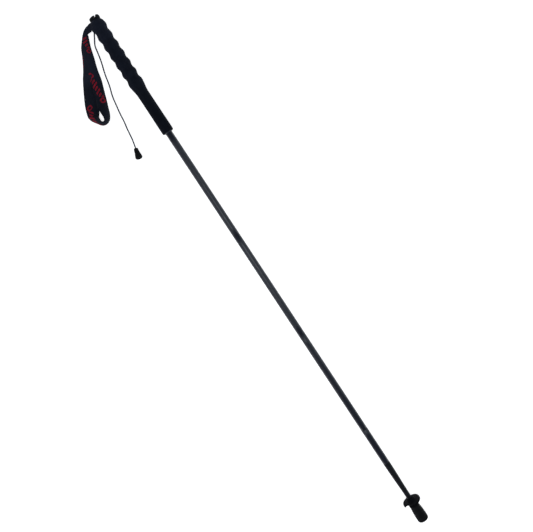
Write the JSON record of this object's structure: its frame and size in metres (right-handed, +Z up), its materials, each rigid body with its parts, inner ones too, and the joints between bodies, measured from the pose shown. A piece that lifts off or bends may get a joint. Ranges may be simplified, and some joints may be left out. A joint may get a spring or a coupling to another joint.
{
  "type": "sectional ski pole",
  "caption": "Slim sectional pole with foam grip, wrist strap, cord-lock head with pull cord and toggle, small snow basket and rubber foot.",
  "frame": {"origin": "centre of the rubber foot's end face", "axes": "+X up the shaft from the foot to the head, +Z up with the pole lying on a flat surface, wrist strap and pull cord on the +Y side"},
  "size_m": [1.2, 0.1331, 0.0386],
  "materials": {
    "eva_foam": "matt moulded foam",
    "carbon": "satin lacquered carbon fibre",
    "black_nylon": "fine grained moulded nylon",
    "basket_plastic": "moulded polyamide",
    "anodised": "satin anodised",
    "steel": "turned",
    "carbide": "sintered",
    "webbing": "woven nylon webbing with a printed red pattern",
    "cord": "braided sheath",
    "toggle_rubber": "moulded rubber",
    "foot_rubber": "vulcanised rubber"
  },
  "bodies": {
    "handle": {"grip_foam": "eva_foam", "upper_tube": "carbon", "head_plug": "black_nylon", "cord_lock_knob": "black_nylon", "cord_guide": "anodised", "strap_pin": "steel", "strap_neck": "webbing", "pull_cord": "cord", "cord_toggle": "toggle_rubber", "cord_knot": "cord"},
    "strap": {"wrist_strap": "webbing"},
    "section_2": {"tube_2": "carbon", "spigot_2": "anodised", "spigot_nose_2": "black_nylon"},
    "section_3": {"tube_3": "carbon", "spigot_3": "anodised", "spigot_nose_3": "black_nylon"},
    "section_4": {"tube_4": "carbon", "spigot_4": "anodised", "spigot_nose_4": "black_nylon"},
    "tip_section": {"tube_5": "carbon", "spigot_5": "anodised", "spigot_nose_5": "black_nylon", "flex_tip": "black_nylon", "cord_anchor": "anodised", "tension_cord": "cord", "carbide_tip": "carbide"},
    "basket": {"basket": "basket_plastic"},
    "foot": {"rubber_foot": "foot_rubber", "foot_washer": "steel"}
  },
  "joints": [
    {"name": "strap_swing", "type": "hinge", "parent": "handle", "child": "strap", "pos_m": [1.18875, 0.017, 0], "axis": [1, 0, 0], "range_deg": [-30, 120]},
    {"name": "pull_apart_1", "type": "slide", "parent": "handle", "child": "section_2", "axis": [-1, 0, 0], "range_m": [0, 0.045]},
    {"name": "pull_apart_2", "type": "slide", "parent": "section_2", "child": "section_3", "axis": [-1, 0, 0], "range_m": [0, 0.045]},
    {"name": "pull_apart_3", "type": "slide", "parent": "section_3", "child": "section_4", "axis": [-1, 0, 0], "range_m": [0, 0.045]},
    {"name": "pull_apart_4", "type": "slide", "parent": "section_4", "child": "tip_section", "axis": [-1, 0, 0], "range_m": [0, 0.045]},
    {"name": "basket_turn", "type": "hinge", "parent": "tip_section", "child": "basket", "pos_m": [0.048, 0, 0], "axis": [1, 0, 0], "range_deg": [-180, 180]},
    {"name": "foot_pull_off", "type": "slide", "parent": "tip_section", "child": "foot", "axis": [-1, 0, 0], "range_m": [0, 0.036]}
  ]
}
